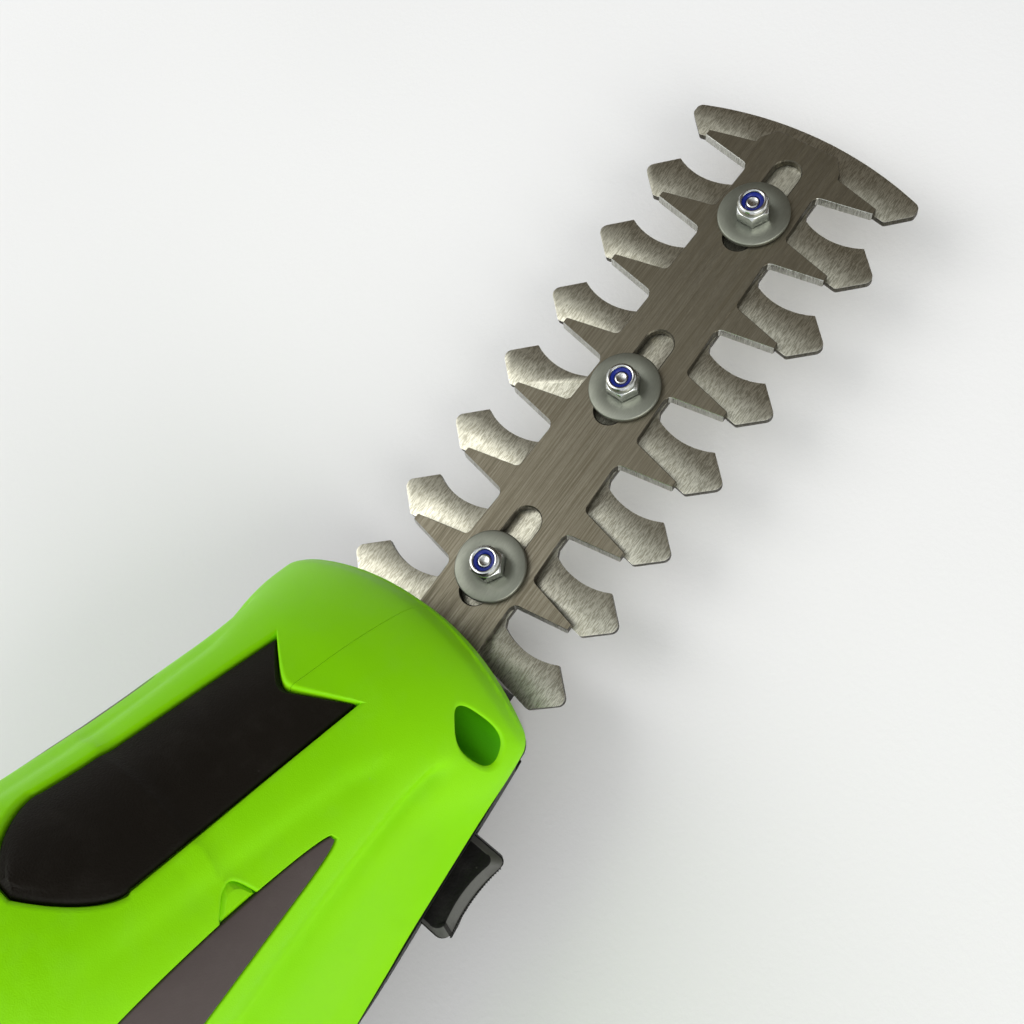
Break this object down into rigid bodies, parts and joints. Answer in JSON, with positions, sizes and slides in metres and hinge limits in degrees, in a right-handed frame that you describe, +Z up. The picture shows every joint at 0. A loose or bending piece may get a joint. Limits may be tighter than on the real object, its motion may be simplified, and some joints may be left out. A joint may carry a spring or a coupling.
{
  "type": "cordless shrub shears",
  "caption": "Hand-held battery shrub shears with a double-sided reciprocating blade, closed loop handle, trigger, lock-off button and side blade release buttons.",
  "frame": {"origin": "middle of the bounding box's bottom, on the surface that the base stands on", "axes": "+X forward along the blade to its tip, +Z up, +Y to the tool's left"},
  "size_m": [0.3268, 0.068, 0.1007],
  "materials": {
    "green_shell": "satin moulded plastic, bright green",
    "black_tub": "moulded plastic, near black, fine grain",
    "soft_black": "soft moulded rubber, near black",
    "side_plate": "smooth dark grey, bare",
    "blade_steel": "ground and lightly scratched",
    "plated_steel": "zinc plated",
    "spring_steel": "drawn wire",
    "brass": "machined",
    "nylon_blue": "deep blue nylon ring",
    "acetal": "off-white moulded acetal",
    "cell_wrap": "shrink film round a cell",
    "board_green": "coated circuit board",
    "clear_lens": "clear light pipe"
  },
  "bodies": {
    "housing": {"guard_blade": "blade_steel", "right_shell": "green_shell", "left_shell": "green_shell", "front_pad": "soft_black", "palm_grip": "soft_black", "finger_grip": "soft_black", "side_plate_right": "side_plate", "side_plate_left": "side_plate", "lower_housing": "black_tub", "drive_plate": "blade_steel", "gear_axle": "plated_steel", "motor": "plated_steel", "release_spring_right": "spring_steel", "release_spring_left": "spring_steel", "trigger_pin": "plated_steel", "trigger_switch": "black_tub", "trigger_spring": "spring_steel", "lock_off_spring": "spring_steel", "battery_cell": "cell_wrap", "cell_holder": "black_tub", "control_board": "board_green", "charge_socket": "black_tub", "status_lens": "clear_lens", "blade_bolt_1": "plated_steel", "slot_bush_1": "plated_steel", "blade_washer_1": "plated_steel", "lock_nut_1": "plated_steel", "nut_insert_1": "nylon_blue", "blade_bolt_2": "plated_steel", "slot_bush_2": "plated_steel", "blade_washer_2": "plated_steel", "lock_nut_2": "plated_steel", "nut_insert_2": "nylon_blue", "blade_bolt_3": "plated_steel", "slot_bush_3": "plated_steel", "blade_washer_3": "plated_steel", "lock_nut_3": "plated_steel", "nut_insert_3": "nylon_blue", "shell_screw_1": "plated_steel", "shell_screw_2": "plated_steel", "shell_screw_3": "plated_steel", "shell_screw_4": "plated_steel", "shell_screw_5": "plated_steel", "base_screw_1": "plated_steel", "base_screw_2": "plated_steel", "base_screw_3": "plated_steel", "base_screw_4": "plated_steel", "blade_clamp_screw_1": "plated_steel", "blade_clamp_screw_2": "plated_steel", "plate_screw_1": "plated_steel", "plate_screw_2": "plated_steel"},
    "blade": {"cutting_blade": "blade_steel"},
    "gear": {"drive_gear": "acetal", "crank_roller": "plated_steel"},
    "rotor": {"motor_shaft": "plated_steel", "motor_pinion": "brass"},
    "trigger": {"trigger": "black_tub"},
    "lock_off": {"lock_off_button": "black_tub"},
    "release_right": {"release_button_right": "black_tub"},
    "release_left": {"release_button_left": "black_tub"}
  },
  "joints": [
    {"name": "blade_slide", "type": "slide", "parent": "housing", "child": "blade", "axis": [1, 0, 0], "range_m": [-0.011, 0.0025]},
    {"name": "gear_spin", "type": "hinge", "parent": "housing", "child": "gear", "pos_m": [0.00465, 0, 0.0285], "axis": [0, 0, 1], "continuous": true},
    {"name": "motor_spin", "type": "hinge", "parent": "housing", "child": "rotor", "pos_m": [-0.02035, 0, 0.0285], "axis": [0, 0, 1], "continuous": true},
    {"name": "trigger_pull", "type": "hinge", "parent": "housing", "child": "trigger", "pos_m": [-0.05635, 0, 0.0735], "axis": [0, 1, 0], "range_deg": [0, 9], "stiffness_Nm_per_rad": 0.6, "springref_deg": -6.88, "deforming": ["trigger_spring"]},
    {"name": "lock_off_press", "type": "slide", "parent": "housing", "child": "lock_off", "axis": [0, -1, 0], "range_m": [0, 0.003], "stiffness_N_per_m": 500, "springref_m": -0.003, "deforming": ["lock_off_spring"]},
    {"name": "release_right_press", "type": "slide", "parent": "housing", "child": "release_right", "axis": [0, 1, 0], "range_m": [0, 0.003], "stiffness_N_per_m": 800, "springref_m": -0.003, "deforming": ["release_spring_right"]},
    {"name": "release_left_press", "type": "slide", "parent": "housing", "child": "release_left", "axis": [0, -1, 0], "range_m": [0, 0.003], "stiffness_N_per_m": 800, "springref_m": -0.003, "deforming": ["release_spring_left"]}
  ],
  "couplings": [
    {"joint": "motor_spin", "follows": "gear_spin", "ratio": -4}
  ]
}
